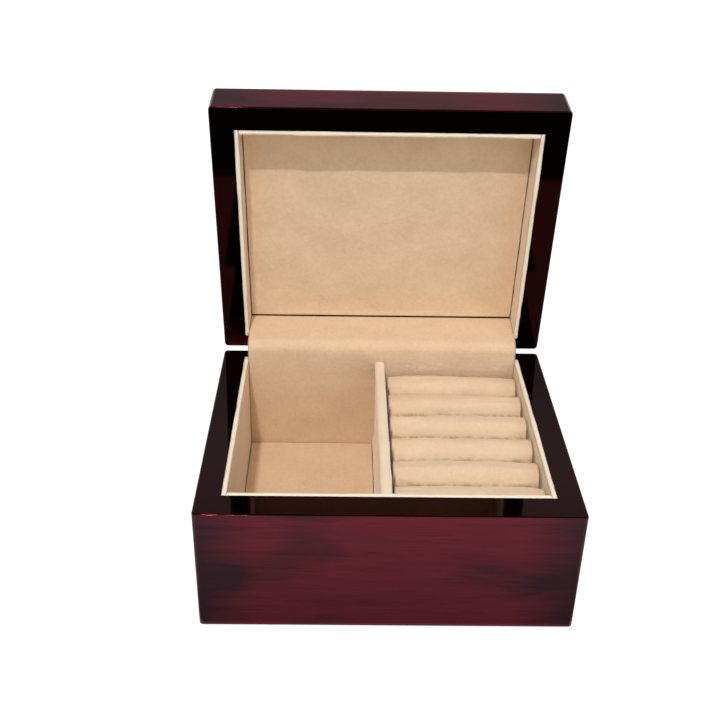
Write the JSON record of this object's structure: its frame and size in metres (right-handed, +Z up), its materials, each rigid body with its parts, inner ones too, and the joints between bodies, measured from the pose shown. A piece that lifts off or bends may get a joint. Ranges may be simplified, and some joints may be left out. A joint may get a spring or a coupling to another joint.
{
  "type": "ring box with hinged lid",
  "caption": "Lacquered wooden jewellery box with a hinged lid, an open compartment, a divider and padded rolls that hold rings.",
  "frame": {"origin": "centre of the underside of the base, on the surface that the box rests on", "axes": "+X to the right of a person who faces the open box, +Y to the back where the hinges are, +Z up"},
  "size_m": [0.1788, 0.1708, 0.2174],
  "materials": {
    "lacquered_wood": "red-brown stained wood under high-gloss lacquer",
    "bottom_board": "plain fibreboard",
    "velour": "cream velour, matt with a soft nap",
    "felt": "dark matt felt",
    "card": "grey-brown board",
    "brass": "polished brass"
  },
  "bodies": {
    "base": {"base_front_wall": "lacquered_wood", "base_back_wall": "lacquered_wood", "base_left_wall": "lacquered_wood", "base_right_wall": "lacquered_wood", "base_bottom_panel": "bottom_board", "base_underside_felt": "felt", "base_lining_left": "velour", "base_lining_right": "velour", "base_lining_front": "velour", "base_lining_back": "card", "compartment_floor_pad": "velour", "compartment_divider": "velour", "ring_insert_riser": "card", "ring_insert_board": "card", "ring_roll_1": "velour", "ring_roll_2": "velour", "ring_roll_3": "velour", "ring_roll_4": "velour", "ring_roll_5": "velour", "ring_roll_6": "velour", "hinge_base_leaf_left": "brass", "hinge_base_leaf_right": "brass", "hinge_pin_left": "brass", "hinge_pin_right": "brass", "hinge_base_screws": "brass", "hinge_cloth": "velour"},
    "lid": {"lid_front_rail": "lacquered_wood", "lid_back_rail": "lacquered_wood", "lid_left_rail": "lacquered_wood", "lid_right_rail": "lacquered_wood", "lid_top_panel": "lacquered_wood", "lid_lining_left": "velour", "lid_lining_right": "velour", "lid_lining_front": "velour", "lid_lining_back": "card", "lid_ceiling_pad": "velour", "hinge_lid_leaf_left": "brass", "hinge_lid_leaf_right": "brass", "hinge_lid_screws": "brass"}
  },
  "joints": [
    {"name": "lid_hinge", "type": "hinge", "parent": "base", "child": "lid", "pos_m": [0, 0.0745, 0.068], "axis": [1, 0, 0], "range_deg": [0, 82.6], "deforming": ["hinge_cloth"]}
  ]
}
